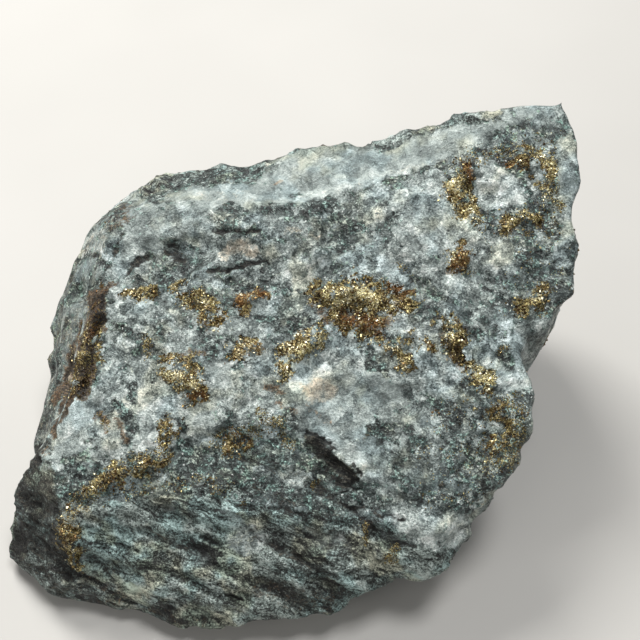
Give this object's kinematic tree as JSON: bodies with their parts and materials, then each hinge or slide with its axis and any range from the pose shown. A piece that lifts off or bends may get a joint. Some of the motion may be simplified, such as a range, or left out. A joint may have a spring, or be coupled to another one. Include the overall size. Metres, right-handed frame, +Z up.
{
  "type": "pyrite in matrix specimen",
  "caption": "Hand specimen of granular pyrite set in a wedge-shaped stone of grey-white vein quartz and dark green schist, resting on a flat broken base.",
  "frame": {"origin": "middle of the part's box at the flat broken base", "axes": "+Z up from the base; +X along the longest side, towards the high right end; the big fracture face rises from the front, -Y, to the back, +Y"},
  "size_m": [0.0752, 0.058, 0.0434],
  "materials": {
    "matrix": "rough broken stone with glassy quartz grains",
    "pyrite": "granular metallic, tarnished brown in places"
  },
  "bodies": {
    "root": {"matrix": "matrix", "pyrite_back_a": "pyrite", "pyrite_back_b": "pyrite", "pyrite_centre": "pyrite", "pyrite_corner": "pyrite", "pyrite_front_band": "pyrite", "pyrite_left_fleck": "pyrite", "pyrite_lobe": "pyrite", "pyrite_low_fleck": "pyrite", "pyrite_mid_fleck": "pyrite", "pyrite_nugget": "pyrite", "pyrite_peak": "pyrite", "pyrite_right_band": "pyrite", "pyrite_right_corner": "pyrite", "pyrite_right_edge": "pyrite", "pyrite_right_fleck": "pyrite", "pyrite_right_patch": "pyrite", "pyrite_right_sliver": "pyrite", "pyrite_seam": "pyrite", "pyrite_side": "pyrite", "pyrite_streak": "pyrite", "pyrite_stringer": "pyrite", "pyrite_upper_vein": "pyrite"}
  },
  "joints": []
}
